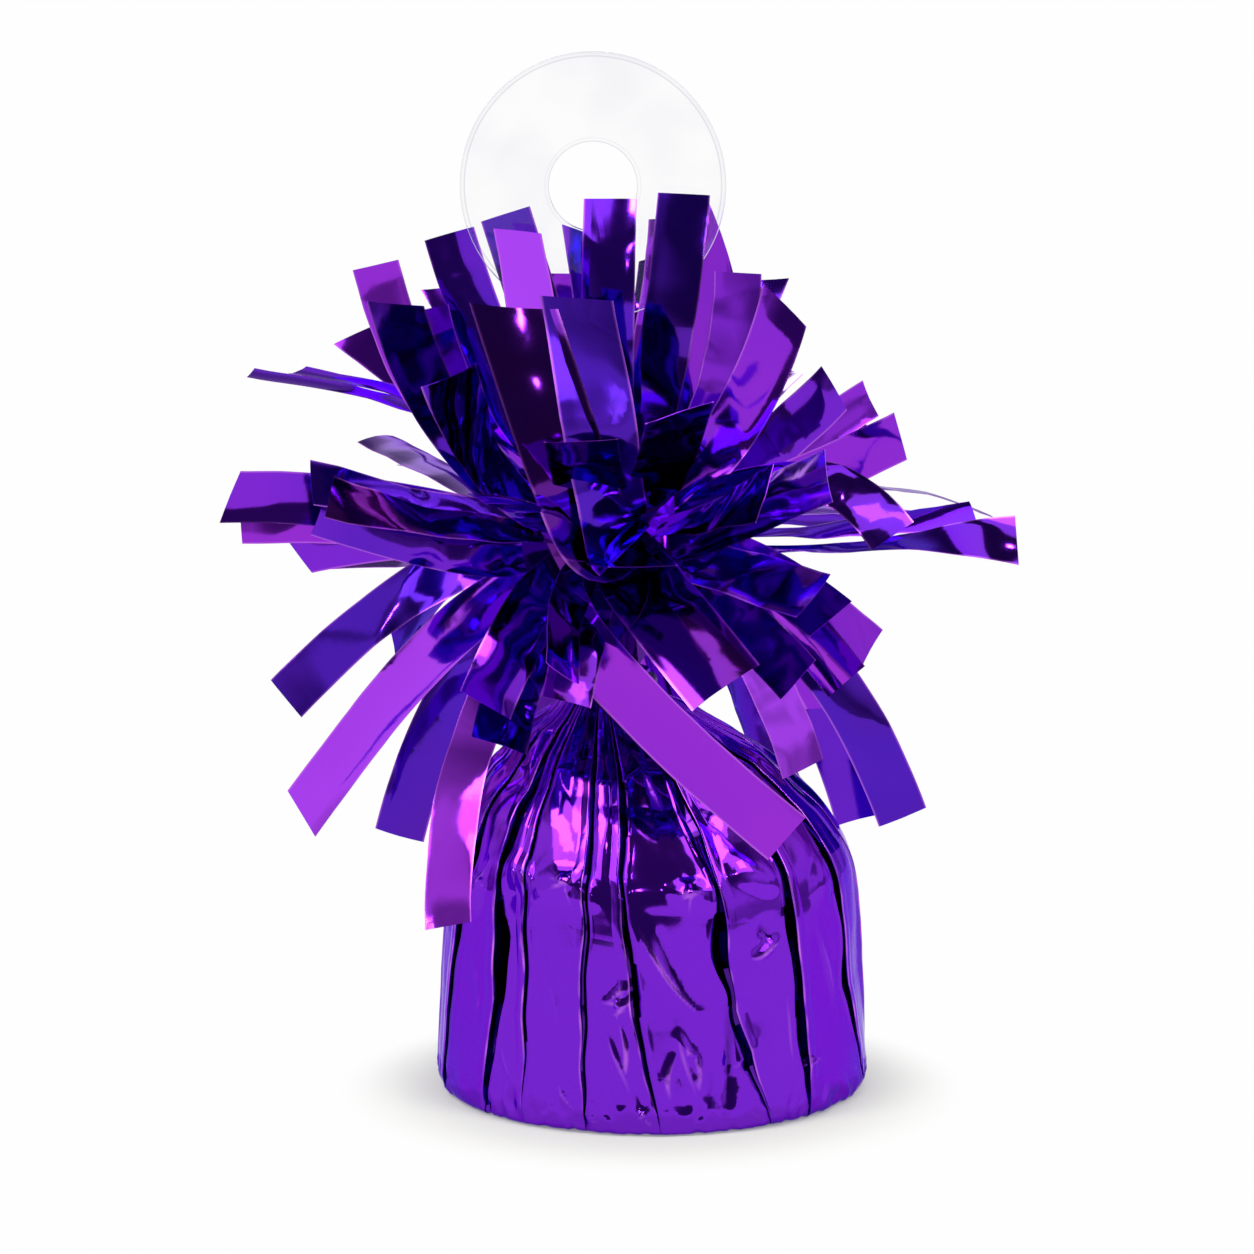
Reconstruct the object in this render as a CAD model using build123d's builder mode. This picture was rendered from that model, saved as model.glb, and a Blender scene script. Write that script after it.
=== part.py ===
from build123d import *

import os
from math import cos, radians, sin

# A free-standing balloon weight: a filled cup wrapped in pleated metallised film, tied at the neck, with the
# film's slit margin bursting out above the tie and a clear ring for the ribbons standing out of the top.
# Millimetres, +Z up, the origin at the middle of the flat base, the front towards -Y.

# Film wrap: outline of the drum and of the dome that is gathered in to the neck
foot_radius = 31.0
shoulder_radius = 29.4
shoulder_height = 31.0
foot_round_height = 3.2
foot_round_inset = 1.2
neck_height = 57.0
neck_radius = 5.6
neck_offset = 6.0
film_wall = 0.4
pleat_depth = 1.2

# Cup, its filling and the disc that closes it
cup_wall = 1.2
cup_gap = 0.3
cup_edge_round = 2.5
filling_gap = 0.1
disc_thickness = 1.0

# Neck band
tie_gap = 0.1
tie_height = 2.2
tie_thickness = 1.0
tie_lift = 0.3

# Crumpled film between the neck and the strips
rosette_height = 78.0
rosette_radius = 14.0
rosette_half_height = 11.0

# Clear ring and its stem, one sheet that flexes at a line just above the film
sheet = 0.6
ring_radius = 18.7
ring_hole_radius = 6.2
ring_rise = 72.0
ring_lean = 1.9
stem_width = 7.0
stem_grip = 5.0
stem_gap = 0.3
hinge_rise = 36.0
hinge_gap = 0.15

# Fringe strips
fringe_reach = 58.0
strip_width = 7.4
strip_root_width = 1.7
strip_thickness = 0.25
strip_seat_gap = 0.25

# How far cuts run past the faces they open
overrun = 2.0

# Widths of the knife pleats round the drum, as shares of their mean; the panel's and the slot's ends as
# shares of a pleat's width
pleat_width_shares = [1.0, 1.25, 0.8, 1.1, 0.9, 1.3, 0.75, 1.0, 1.2, 0.85,
                      1.05, 0.9, 1.25, 0.8, 1.1, 0.95, 1.2, 0.75, 1.0, 0.85]
panel_end_share = 0.82
slot_floor_share = 0.91

# Levels of the wrap. Foot: height and inset as shares of the foot's round, then the pleat's depth.
foot_level_shares = [(0.0, 1.0, 0.4), (0.35, 0.3, 0.7), (1.0, 0.0, 1.0)]
# Dome: height from shoulder to neck, radius from neck to shoulder, drift towards the neck's axis, pleat's depth
dome_level_shares = [(0.0, 1.0, 0.0, 1.0), (0.2, 0.94, 0.05, 1.0), (0.5, 0.73, 0.28, 0.9),
                     (0.77, 0.4, 0.65, 0.7), (1.0, 0.0, 1.0, 0.35)]

# Where a strip is cut across for its sections, and where it has opened to its full width, along its spine
strip_section_shares = [0.0, 0.22, 0.45, 0.72, 1.0]
full_width_share = 0.45

# Fringe strips by tier and side. Each row: the tip's x, y, z from the middle of the rosette as shares of the
# fringe's reach; the root's azimuth and rise on the rosette in degrees; how far the strip bows along its root's
# direction as a share of its span; the tilt of its face, from lying flat (0) to facing the front (90), at the
# root and at the tip.
fringe_shares = {
    "crown_strips_front": [
        (-0.20, -0.28, 0.81, -122, 56, 0.5, 88, 88),
        (0.00, -0.26, 0.86, -92, 62, 0.5, 88, 88),
        (0.17, -0.27, 0.87, -60, 60, 0.5, 88, 88),
        (-0.22, -0.46, 0.60, -115, 34, 0.5, 60, 70),
        (-0.04, -0.50, 0.65, -88, 38, 0.5, 60, 70),
    ],
    "crown_strips_left": [
        (-0.40, 0.24, 0.75, 150, 52, 0.5, 90, 90),
        (-0.26, 0.24, 0.80, 122, 60, 0.5, 90, 90),
        (-0.40, 0.46, 0.58, 130, 44, 0.5, 80, 80),
    ],
    "crown_strips_right": [
        (0.29, 0.28, 0.75, 40, 57, 0.5, 90, 90),
        (0.31, 0.13, 0.66, 15, 50, 0.5, 90, 90),
        (0.38, 0.42, 0.62, 45, 46, 0.5, 70, 80),
    ],
    "crown_strips_back": [
        (-0.11, 0.48, 0.64, 106, 40, 0.5, 90, 90),
        (-0.06, 0.36, 0.74, 90, 54, 0.5, 90, 90),
        (0.11, 0.24, 0.79, 66, 61, 0.5, 90, 90),
        (0.14, 0.52, 0.70, 74, 48, 0.5, 90, 90),
    ],
    "upper_strips_left": [
        (-0.57, -0.08, 0.69, -172, 34, 0.5, 75, 85),
        (-0.44, 0.15, 0.57, 165, 36, 0.5, 80, 85),
        (-0.50, -0.30, 0.60, -150, 30, 0.5, 60, 75),
        (-0.39, -0.53, 0.50, -134, 24, 0.5, 50, 65),
        (-0.88, 0.04, 0.42, 177, 21, 0.5, -6, -4),
        (-0.78, 0.22, 0.41, 163, 25, 0.5, -8, -4),
        (-0.61, 0.55, 0.18, 138, 14, 0.5, 5, 8),
        (-0.64, 0.46, 0.46, 145, 34, 0.5, 40, 50),
    ],
    "upper_strips_right": [
        (0.42, -0.15, 0.60, -20, 42, 0.5, 55, 60),
        (0.45, 0.45, 0.38, 48, 32, 0.5, 15, 20),
        (0.55, 0.10, 0.38, 8, 30, 0.5, 65, 70),
        (0.66, 0.35, 0.33, 28, 24, 0.5, 50, 50),
        (0.70, -0.20, 0.31, -14, 20, 0.5, 70, 80),
        (0.66, 0.50, 0.26, 38, 27, 0.5, 30, 40),
    ],
    "upper_strips_back": [
        (-0.22, 0.76, 0.44, 106, 30, 0.5, 10, 20),
        (0.12, 0.80, 0.42, 82, 32, 0.5, 0, 10),
        (0.36, 0.74, 0.44, 66, 38, 0.5, 30, 30),
        (-0.46, 0.68, 0.36, 124, 28, 0.5, 20, 30),
    ],
    "middle_strips_left": [
        (-0.92, -0.10, 0.15, -173, 14, 0.5, 50, 60),
        (-0.92, 0.15, 0.05, 173, 8, 0.5, 45, 50),
        (-0.79, 0.30, -0.05, 158, 4, 0.5, 45, 50),
        (-0.70, -0.36, 0.20, -154, 14, 0.5, 30, 45),
        (-0.64, -0.52, 0.19, -138, 10, 0.5, 35, 55),
        (-0.70, -0.25, 0.11, -162, -6, 0.3, 70, 75),
        (-0.65, 0.45, -0.10, 144, -4, 0.5, 40, 45),
    ],
    "middle_strips_right": [
        (0.99, -0.10, 0.02, -5, -4, 0.4, 5, 70),
        (0.90, 0.16, 0.02, 9, 3, 0.5, 10, 25),
        (0.95, 0.30, 0.05, 17, 17, 0.6, 3, 6),
        (0.85, 0.52, 0.00, 33, 6, 0.6, 3, 6),
        (0.67, -0.35, 0.07, -30, 30, 0.8, 30, 70),
        (0.52, -0.60, 0.24, -52, 10, 0.2, 60, 65),
    ],
    "middle_strips_front": [
        (-0.06, -0.72, 0.36, -95, 20, 0.5, 0, 20),
        (0.17, -0.72, 0.33, -74, 27, 0.5, 0, 20),
        (-0.24, -0.72, 0.24, -108, 12, 0.5, 0, 20),
        (0.08, -0.82, 0.02, -88, 2, 0.5, 10, 20),
        (0.40, -0.75, 0.18, -64, 14, 0.5, 20, 50),
    ],
    "middle_strips_back": [
        (-0.74, 0.62, 0.00, 142, 6, 0.5, 30, 40),
        (-0.50, 0.80, 0.12, 122, 12, 0.5, 10, 20),
        (-0.20, 0.92, 0.14, 102, 14, 0.5, 5, 5),
        (0.12, 0.94, 0.10, 84, 12, 0.5, 0, 5),
        (0.42, 0.86, 0.14, 64, 14, 0.5, 10, 20),
        (0.68, 0.66, 0.02, 46, 4, 0.5, 20, 30),
    ],
    "lower_strips_left": [
        (-0.82, 0.10, -0.40, 175, -6, 0.5, 50, 60),
        (-0.75, -0.10, -0.66, -172, -24, 0.5, 50, 60),
    ],
    "lower_strips_right": [
        (0.48, -0.60, -0.05, -50, -2, 0.35, 50, 60),
        (0.52, -0.40, -0.12, -36, 4, 0.4, 60, 60),
        (0.58, -0.20, -0.30, -19, -8, 0.4, 65, 65),
        (0.46, -0.42, -0.27, -44, -15, 0.4, 60, 60),
        (0.56, 0.15, -0.43, 15, -14, 0.4, 60, 60),
    ],
    "lower_strips_front": [
        (0.27, -0.62, -0.20, -68, -10, 0.4, 40, 50),
        (-0.28, -0.50, -0.30, -124, -18, 0.4, 40, 50),
        (-0.13, -0.62, -0.24, -106, -36, 0.4, 30, 40),
        (-0.07, -0.48, -0.30, -98, -54, 0.4, 30, 40),
        (-0.27, -0.38, -0.44, -138, -40, 0.4, 50, 60),
    ],
    "lower_strips_back": [
        (-0.55, 0.66, -0.36, 130, -10, 0.5, 30, 40),
        (-0.24, 0.82, -0.34, 108, -8, 0.5, 10, 20),
        (0.12, 0.84, -0.38, 80, -8, 0.5, 0, 10),
        (0.44, 0.74, -0.34, 58, -10, 0.5, 20, 30),
        (0.70, 0.46, -0.30, 34, -8, 0.5, 30, 40),
    ],
    "skirt_strips_left": [
        (-0.53, 0.20, -0.76, 160, -34, 0.5, 50, 60),
        (-0.40, -0.32, -0.87, -152, -44, 0.5, 60, 80),
    ],
    "skirt_strips_right": [
        (0.43, -0.42, -0.63, -78, -32, 0.12, 60, 70),
        (0.46, -0.30, -0.50, -36, -22, 0.5, 60, 80),
        (0.73, 0.05, -0.69, 0, -20, 0.45, 60, 60),
        (0.62, 0.28, -0.73, 26, -24, 0.45, 60, 60),
    ],
    "skirt_strips_back": [
        (-0.42, 0.52, -0.76, 132, -34, 0.5, 30, 60),
        (-0.14, 0.64, -0.74, 106, -32, 0.5, 10, 20),
        (0.20, 0.64, -0.78, 76, -32, 0.5, 10, 10),
        (0.46, 0.50, -0.80, 50, -36, 0.5, 30, 40),
    ],
}

os.makedirs("parts", exist_ok=True)

neck_axis = Axis((-neck_offset, 0, 0), (0, 0, 1))

# Film wrap: a closed floor, the pleated drum, and the dome gathered in to the neck
wrap_levels = []
for height_share, inset_share, pleat_share in foot_level_shares:
    level_height = height_share * foot_round_height
    level_radius = foot_radius - inset_share * foot_round_inset
    wrap_levels.append((level_height, level_radius, 0, pleat_share * pleat_depth))
for height_share, radius_share, drift_share, pleat_share in dome_level_shares:
    level_height = shoulder_height + height_share * (neck_height - shoulder_height)
    level_radius = neck_radius + radius_share * (shoulder_radius - neck_radius)
    wrap_levels.append((level_height, level_radius, -drift_share * neck_offset, pleat_share * pleat_depth))


def pleated_outline(radius, depth, centre_x):
    """Corners of one level of the wrap: a flat panel and a sharp slot for each knife pleat."""
    corners = []
    turned = 0
    for width_share in pleat_width_shares:
        pleat_angle = 360 * width_share / sum(pleat_width_shares)
        for end_share, corner_radius in ((0, radius), (panel_end_share, radius), (slot_floor_share, radius - depth)):
            angle = radians(turned + end_share * pleat_angle)
            corners.append((centre_x + corner_radius * cos(angle), corner_radius * sin(angle)))
        turned += pleat_angle
    return corners


with BuildPart() as foil_wrap:
    for level_height, level_radius, centre_x, depth in wrap_levels:
        with BuildSketch(Plane.XY.offset(level_height)):
            with BuildLine():
                Polyline(*pleated_outline(level_radius, depth, centre_x), close=True)
            make_face()
    loft(ruled=True)
    inner_levels = [(film_wall, *wrap_levels[0][1:])] + wrap_levels[1:]
    inner_levels.append((neck_height + overrun, *wrap_levels[-1][1:]))
    for level_height, level_radius, centre_x, depth in inner_levels:
        with BuildSketch(Plane.XY.offset(level_height)):
            with BuildLine():
                Polyline(*pleated_outline(level_radius - film_wall, depth, centre_x), close=True)
            make_face()
    loft(ruled=True, mode=Mode.SUBTRACT)
foil_wrap.part.label = "foil_wrap"
export_step(foil_wrap.part, "parts/foil_wrap.step")

# Closing disc: card, lying on the film's floor under the cup's mouth
disc_radius = foot_radius - foot_round_inset - pleat_depth - film_wall - cup_gap
with BuildPart() as closing_disc:
    with BuildSketch(Plane.XY.offset(film_wall)):
        Circle(disc_radius)
    extrude(amount=disc_thickness)
closing_disc.part.label = "closing_disc"
export_step(closing_disc.part, "parts/closing_disc.step")

# Cup: tapered, standing on its wide mouth, inside the deepest pleats
cup_foot = film_wall + disc_thickness
cup_foot_radius = foot_radius - pleat_depth - film_wall - cup_gap
cup_top_radius = shoulder_radius - pleat_depth - film_wall - cup_gap
with BuildPart() as weight_cup:
    with BuildSketch(Plane.XY.offset(cup_foot)):
        Circle(cup_foot_radius)
    with BuildSketch(Plane.XY.offset(shoulder_height)):
        Circle(cup_top_radius)
    loft()
    cup_rim = weight_cup.faces().sort_by(Axis.Z)[0]
    cup_top = weight_cup.faces().sort_by(Axis.Z)[-1]
    fillet(cup_top.edges(), cup_edge_round)
    offset(amount=-cup_wall, openings=cup_rim)
weight_cup.part.label = "weight_cup"
export_step(weight_cup.part, "parts/weight_cup.step")

# Ballast: the cast filling, standing on the disc and shaped by the cup
ballast_top = shoulder_height - cup_wall - filling_gap
with BuildPart() as ballast:
    with BuildSketch(Plane.XY.offset(cup_foot)):
        Circle(cup_foot_radius - cup_wall - filling_gap)
    with BuildSketch(Plane.XY.offset(ballast_top)):
        Circle(cup_top_radius - cup_wall - filling_gap)
    loft()
    fillet(ballast.faces().sort_by(Axis.Z)[-1].edges(), cup_edge_round)
ballast.part.label = "ballast"
export_step(ballast.part, "parts/ballast.step")

# The clear sheet stands in this plane: local y runs up the stem, which leans a little to the left
sheet_plane = Plane(
    origin=(-neck_offset, 0, neck_height),
    x_dir=(cos(radians(ring_lean)), 0, sin(radians(ring_lean))),
    z_dir=(0, -1, 0),
)

# Film rosette: the un-slit film above the tie, crumpled round the stem, with a slot for it
with BuildPart() as film_rosette:
    with BuildSketch(Plane.XZ):
        with Locations((-neck_offset, rosette_height)):
            Ellipse(rosette_radius, rosette_half_height)
        with Locations((-neck_offset, rosette_height)):
            Rectangle(
                rosette_radius + overrun,
                2 * (rosette_half_height + overrun),
                align=(Align.MIN, Align.CENTER),
                mode=Mode.INTERSECT,
            )
    revolve(axis=neck_axis)
    with BuildSketch(Plane.XY.offset(neck_height)):
        with Locations((-neck_offset, 0)):
            Circle(neck_radius)
    extrude(amount=rosette_height - neck_height)
    with BuildSketch(sheet_plane):
        with Locations((0, -overrun)):
            Rectangle(stem_width + 2 * stem_gap, 2 * hinge_rise, align=(Align.CENTER, Align.MIN))
    extrude(amount=sheet / 2 + stem_gap, both=True, mode=Mode.SUBTRACT)
film_rosette.part.label = "film_rosette"
export_step(film_rosette.part, "parts/film_rosette.step")

# Neck tie: a flat elastic band round the gathered neck
with BuildPart() as neck_tie:
    with BuildSketch(Plane.XZ):
        band_radius = neck_radius + tie_gap + tie_thickness / 2
        with Locations((band_radius - neck_offset, neck_height + tie_lift + tie_height / 2)):
            SlotOverall(tie_height, tie_thickness, rotation=90)
    revolve(axis=neck_axis)
neck_tie.part.label = "neck_tie"
export_step(neck_tie.part, "parts/neck_tie.step")

# Lower stem of the clear ring, gripped in the neck, ending just under the line where the sheet flexes
with BuildPart() as ring_stem:
    with BuildSketch(sheet_plane):
        with Locations((0, -stem_grip)):
            Rectangle(
                stem_width,
                stem_grip + hinge_rise - sheet / 2 - hinge_gap,
                align=(Align.CENTER, Align.MIN),
            )
    extrude(amount=sheet / 2, both=True)
ring_stem.part.label = "ring_stem"
export_step(ring_stem.part, "parts/ring_stem.step")

# Clear ring with its upper stem, whose lower end is round about the flexing line
stem_side = Plane(
    origin=sheet_plane.from_local_coords(Vector(0, hinge_rise, 0)),
    x_dir=(0, -1, 0),
    z_dir=sheet_plane.x_dir,
)
with BuildPart() as ribbon_ring:
    with BuildSketch(stem_side) as stem_section:
        Circle(sheet / 2)
        Rectangle(sheet, ring_rise - hinge_rise - ring_hole_radius, align=(Align.CENTER, Align.MAX))
    extrude(amount=stem_width / 2, both=True)
    with BuildSketch(sheet_plane):
        with Locations((0, ring_rise)):
            Circle(ring_radius)
    extrude(amount=sheet / 2, both=True)
    with BuildSketch(sheet_plane):
        with Locations((0, ring_rise)):
            Circle(ring_hole_radius)
    extrude(amount=sheet / 2 + overrun, both=True, mode=Mode.SUBTRACT)
ribbon_ring.part.label = "ribbon_ring"
export_step(ribbon_ring.part, "parts/ribbon_ring.step")

# Fringe strips: thin bands that start narrow on the rosette, open to full width and bow out to their tips
rosette_middle = Vector(-neck_offset, 0, rosette_height)


def strip_planes(row):
    """Planes across one strip at its sections, root first: x across the band, z along its spine."""
    tip_x, tip_y, tip_z, azimuth, rise, bow, root_tilt, tip_tilt = row
    level = cos(radians(rise))
    outward = Vector(level * cos(radians(azimuth)), level * sin(radians(azimuth)), sin(radians(rise)))
    seat_radius = rosette_radius + strip_seat_gap
    seat_rise = rosette_half_height + strip_seat_gap
    root = rosette_middle + Vector(outward.X * seat_radius, outward.Y * seat_radius, outward.Z * seat_rise)
    tip = rosette_middle + Vector(tip_x, tip_y, tip_z) * fringe_reach
    bend = root + outward * (bow * (tip - root).length)
    planes = []
    for share in strip_section_shares:
        spine_point = root * (1 - share) ** 2 + bend * (2 * share * (1 - share)) + tip * share**2
        along = (bend - root) * (1 - share) + (tip - bend) * share
        tilt = radians(root_tilt + share * (tip_tilt - root_tilt))
        across = Vector(0, -sin(tilt), cos(tilt)).cross(along)
        planes.append(Plane(origin=spine_point, x_dir=across, z_dir=along))
    return planes


for node, rows in fringe_shares.items():
    with BuildPart() as strips:
        for row in rows:
            for share, plane in zip(strip_section_shares, strip_planes(row)):
                opened = min(1, share / full_width_share)
                with BuildSketch(plane):
                    Rectangle(strip_root_width + opened * (strip_width - strip_root_width), strip_thickness)
            loft(ruled=True)
    strips.part.label = node
    export_step(strips.part, f"parts/{node}.step")
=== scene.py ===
import math

import bmesh
import bpy
import numpy as np
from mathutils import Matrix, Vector, noise


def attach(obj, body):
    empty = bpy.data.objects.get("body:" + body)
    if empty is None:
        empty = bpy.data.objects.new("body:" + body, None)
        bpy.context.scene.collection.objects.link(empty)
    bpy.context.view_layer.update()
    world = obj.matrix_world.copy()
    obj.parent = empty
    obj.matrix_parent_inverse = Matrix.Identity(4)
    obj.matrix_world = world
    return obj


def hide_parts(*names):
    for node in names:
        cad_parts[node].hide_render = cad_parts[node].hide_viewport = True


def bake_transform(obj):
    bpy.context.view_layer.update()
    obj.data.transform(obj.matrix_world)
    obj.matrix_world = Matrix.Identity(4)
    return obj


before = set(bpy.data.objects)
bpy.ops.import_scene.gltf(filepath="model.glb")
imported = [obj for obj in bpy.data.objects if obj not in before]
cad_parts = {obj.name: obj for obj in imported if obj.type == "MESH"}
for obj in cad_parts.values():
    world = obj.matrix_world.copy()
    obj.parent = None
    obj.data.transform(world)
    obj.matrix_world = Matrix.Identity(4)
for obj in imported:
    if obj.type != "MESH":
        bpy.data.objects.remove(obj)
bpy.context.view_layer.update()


# Ballast: plaster and sand, cast into the cup and left to set. It is nearly all of the weight.
# It stands on the closing disc, shut in by the cup, so only its make is shown here.
def linear(code):
    """Linear colour, with alpha, of an sRGB hex code."""
    shares = [int(code[at:at + 2], 16) / 255 for at in (1, 3, 5)]
    return [s / 12.92 if s <= 0.04045 else ((s + 0.055) / 1.055) ** 2.4 for s in shares] + [1.0]


def feed(tree, node, feeds):
    """Feeds a node's inputs with values, with outputs, or with other nodes, which give their first output."""
    for entry, value in feeds.items():
        if isinstance(value, bpy.types.Node):
            value = value.outputs[0]
        if isinstance(value, bpy.types.NodeSocket):
            tree.links.new(value, node.inputs[entry])
        else:
            node.inputs[entry].default_value = value


def add(tree, kind, feeds=None, **settings):
    """Adds one node, sets its properties and feeds its inputs."""
    node = tree.nodes.new(kind)
    for name, value in settings.items():
        setattr(node, name, value)
    feed(tree, node, feeds or {})
    return node


def new_finish(name):
    """A new material: itself, its node tree, its Principled shader and Object coordinates for patterns."""
    finish = bpy.data.materials.new(name)
    finish.use_nodes = True
    tree = finish.node_tree
    return finish, tree, tree.nodes["Principled BSDF"], add(tree, "ShaderNodeTexCoord").outputs["Object"]


def grain(tree, shader, pattern, shades, height, depth, strength, roughness):
    """Grain of a dull finish: a pattern between two shades, relief of a depth and strength, and roughness."""
    ramp = add(tree, "ShaderNodeValToRGB", {"Fac": pattern})
    for stop, code in zip(ramp.color_ramp.elements, shades):
        stop.color = linear(code)
    relief = add(tree, "ShaderNodeBump", {"Height": height, "Distance": depth, "Strength": strength})
    feed(tree, shader, {"Base Color": ramp, "Normal": relief, "Roughness": roughness})


def dress(node, finish):
    """Gives a CAD node's own solid a finish."""
    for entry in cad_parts[node].material_slots:
        entry.material = finish


# Cast plaster with sand: chalky, off-white, with dark grains about 0.8 mm across
grain_size = 0.0008
cast_plaster, tree, shader, place = new_finish("cast plaster with sand")
grains = add(tree, "ShaderNodeTexVoronoi", {"Vector": place, "Scale": 1 / grain_size})
clouds = add(tree, "ShaderNodeTexNoise", {"Vector": place, "Scale": 0.3 / grain_size, "Detail": 4.0})
grain(tree, shader, clouds, ("#9C958A", "#C9C3B7"), grains, depth=0.0002, strength=0.6, roughness=0.9)
dress("ballast", cast_plaster)


# Weight cup: moulded polypropylene, turned mouth down over the ballast. It gives the drum its shape
# and the film is drawn tight over it.

# Moulded polypropylene: milky and half dull, with the mould's fine texture of about 0.6 mm
mould_texture_size = 0.0006
moulded_polypropylene, tree, shader, place = new_finish("moulded polypropylene")
texture = add(tree, "ShaderNodeTexNoise", {"Vector": place, "Scale": 1 / mould_texture_size, "Detail": 2.0})
grain(tree, shader, texture, ("#D9D8D2", "#E6E5E0"), texture, depth=0.00005, strength=0.5, roughness=0.42)
dress("weight_cup", moulded_polypropylene)


# Closing disc: grey board punched to a round, lying under the cup's mouth to keep the filling in.
# The film's floor holds it from below.

# Grey board: dull and mottled, with pressed fibres about 0.7 mm apart that run one way
fibre_size = 0.0007
grey_board, tree, shader, place = new_finish("punched grey board")
stretch = add(tree, "ShaderNodeMapping", {"Vector": place, "Scale": (1.0, 4.0, 1.0)})
fibres = add(tree, "ShaderNodeTexNoise", {"Vector": stretch, "Scale": 1 / fibre_size, "Detail": 5.0})
grain(tree, shader, fibres, ("#8C867B", "#B3AC9F"), fibres, depth=0.0001, strength=0.5, roughness=0.95)
dress("closing_disc", grey_board)


# Film wrap: a round of metallised polyester film, drawn up over the cup from below, folded into knife
# pleats on its way up and gathered at the neck. Its lower part, under the tie, is one sheet.

# Metallised polyester with violet lacquer: a mirror with a clear face, softened by fine crinkles about 2 mm
# across and by creases about 9 mm apart, with a painted highlight along crests and cut edges and painted
# shade where film is tucked away
crinkle_size = 0.0022
crease_size = 0.009
film_relief = 0.0002
painted_tuck_shade = "#2C0A58"
painted_crest_highlight = "#E07CF8"


def film_finish(name, shades, crinkle, crease, marked=True):
    """Lacquered film: the shades of its lacquer, how strong its crinkles and creases are, and whether its
    mesh holds a tone per point, mostly painted light and shade, and marks of a painted highlight (1) on
    crests and cut edges and of painted shade (-1) on tucked film."""
    film, tree, shader, place = new_finish(name)
    lacquer = add(tree, "ShaderNodeTexNoise", {"Vector": place, "Scale": 0.25 / crease_size, "Detail": 2.0})
    shade = add(tree, "ShaderNodeMapRange", {"Value": lacquer, "From Min": 0.35, "From Max": 0.65})
    if marked:
        # The tone held per point: on the strips mostly painted light and shade, on the wrap lighter towards
        # the dome as painted light
        own = add(tree, "ShaderNodeAttribute", attribute_name="lacquer_and_painted_light").outputs["Fac"]
        shade = add(tree, "ShaderNodeMix", {0: 0.9, 2: shade, 3: own}, data_type="FLOAT")
    ramp = add(tree, "ShaderNodeValToRGB", {"Fac": shade})
    stops = ramp.color_ramp.elements
    while len(stops) < len(shades):
        stops.new(0.5)
    for at, code in enumerate(shades):
        stops[at].position = at / (len(shades) - 1)
        stops[at].color = linear(code)
    colour = ramp.outputs["Color"]
    crinkles = add(tree, "ShaderNodeTexNoise", {"Vector": place, "Scale": 1 / crinkle_size, "Detail": 3.0})
    fine = add(tree, "ShaderNodeBump", {"Height": crinkles, "Distance": film_relief, "Strength": crinkle})
    creases = add(tree, "ShaderNodeTexVoronoi", {"Vector": place, "Scale": 1 / crease_size},
                  feature="DISTANCE_TO_EDGE")
    edges = add(tree, "ShaderNodeMapRange", {"Value": creases, "From Max": 0.08})
    relief = add(tree, "ShaderNodeBump", {
        "Height": edges, "Distance": film_relief, "Strength": crease, "Normal": fine,
    })
    rough = add(tree, "ShaderNodeMapRange", {"Value": crinkles, "To Min": 0.05, "To Max": 0.13})
    # Painted light: tucked film is darkened as painted shade, and crests and cut edges are lightened as a
    # painted highlight, which is also made rougher
    if marked:
        mark = add(tree, "ShaderNodeAttribute", attribute_name="painted_light_mark").outputs["Fac"]
        tuck_shade_share = add(tree, "ShaderNodeMapRange", {"Value": mark, "From Min": 0.0, "From Max": -1.0})
        highlight_share = add(tree, "ShaderNodeMapRange", {"Value": mark, "From Min": 0.1, "From Max": 1.0})
        for share, code in ((tuck_shade_share, painted_tuck_shade), (highlight_share, painted_crest_highlight)):
            mixed = add(tree, "ShaderNodeMix", {0: share, 6: colour, 7: linear(code)}, data_type="RGBA")
            colour = mixed.outputs[2]
        rough = add(tree, "ShaderNodeMath", {0: highlight_share, 1: 0.3, 2: rough}, operation="MULTIPLY_ADD")
    feed(tree, shader, {
        "Base Color": colour, "Roughness": rough, "Normal": relief, "Metallic": 1.0,
        "Specular Tint": linear("#AA78F0"), "Coat Weight": 0.12, "Coat Roughness": 0.04,
    })
    return film


# The film's violet, and a lighter, redder shade that the dome takes as painted light
wrap_shades = ("#6A1AC0", "#7A20D6", "#9430D6")
wrap_finish = film_finish("metallised polyester film, drawn", wrap_shades, crinkle=0.05, crease=0.05)

# The wrap's outline, floor first: radius, height and sideways drift in millimetres, and rows up to there
wrap_levels = [
    (1.5, 0.1, 0, 1), (27.5, 0, 0, 7), (29.8, 0.12, 0, 4), (30.64, 1.12, 0, 4), (31, 3.2, 0, 5),
    (30.25, 17, 0, 28), (29.4, 31, 0, 28), (27.97, 36.2, -0.3, 12), (22.97, 44, -1.68, 18),
    (15.1, 51.02, -3.9, 18), (7.4, 56.2, -5.7, 12), (5.6, 58, -6, 4), (5.6, 60.4, -6, 4),
]
last_floor_row = 8


def through(points, counts):
    """Rows along a smooth line through points, with so many rows up to each of them."""
    points = np.array(points, float)
    slopes = np.gradient(points, axis=0)
    rows = [points[0]]
    for at in range(1, len(points)):
        for step in range(1, counts[at] + 1):
            t = step / counts[at]
            a, b = points[at - 1], points[at]
            reach = np.linalg.norm(b - a)
            before = slopes[at - 1] / max(np.linalg.norm(slopes[at - 1]), 1e-9) * reach
            after = slopes[at] / max(np.linalg.norm(slopes[at]), 1e-9) * reach
            rows.append(
                a * (2 * t**3 - 3 * t**2 + 1) + before * (t**3 - 2 * t**2 + t)
                + b * (3 * t**2 - 2 * t**3) + after * (t**3 - t**2)
            )
    return np.array(rows)


wrap_rows = through([level[:3] for level in wrap_levels], [level[3] for level in wrap_levels])
row_radius, row_height, row_drift = wrap_rows.T
row_slope = np.gradient(wrap_rows, axis=0)
row_step = np.hypot(row_slope[:, 0], row_slope[:, 1])
row_out = row_slope[:, 1] / row_step
row_up = -row_slope[:, 0] / row_step
row_count = len(wrap_rows)
on_floor = np.arange(row_count) <= last_floor_row
level_height = np.where(on_floor, 0, row_height)

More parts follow.
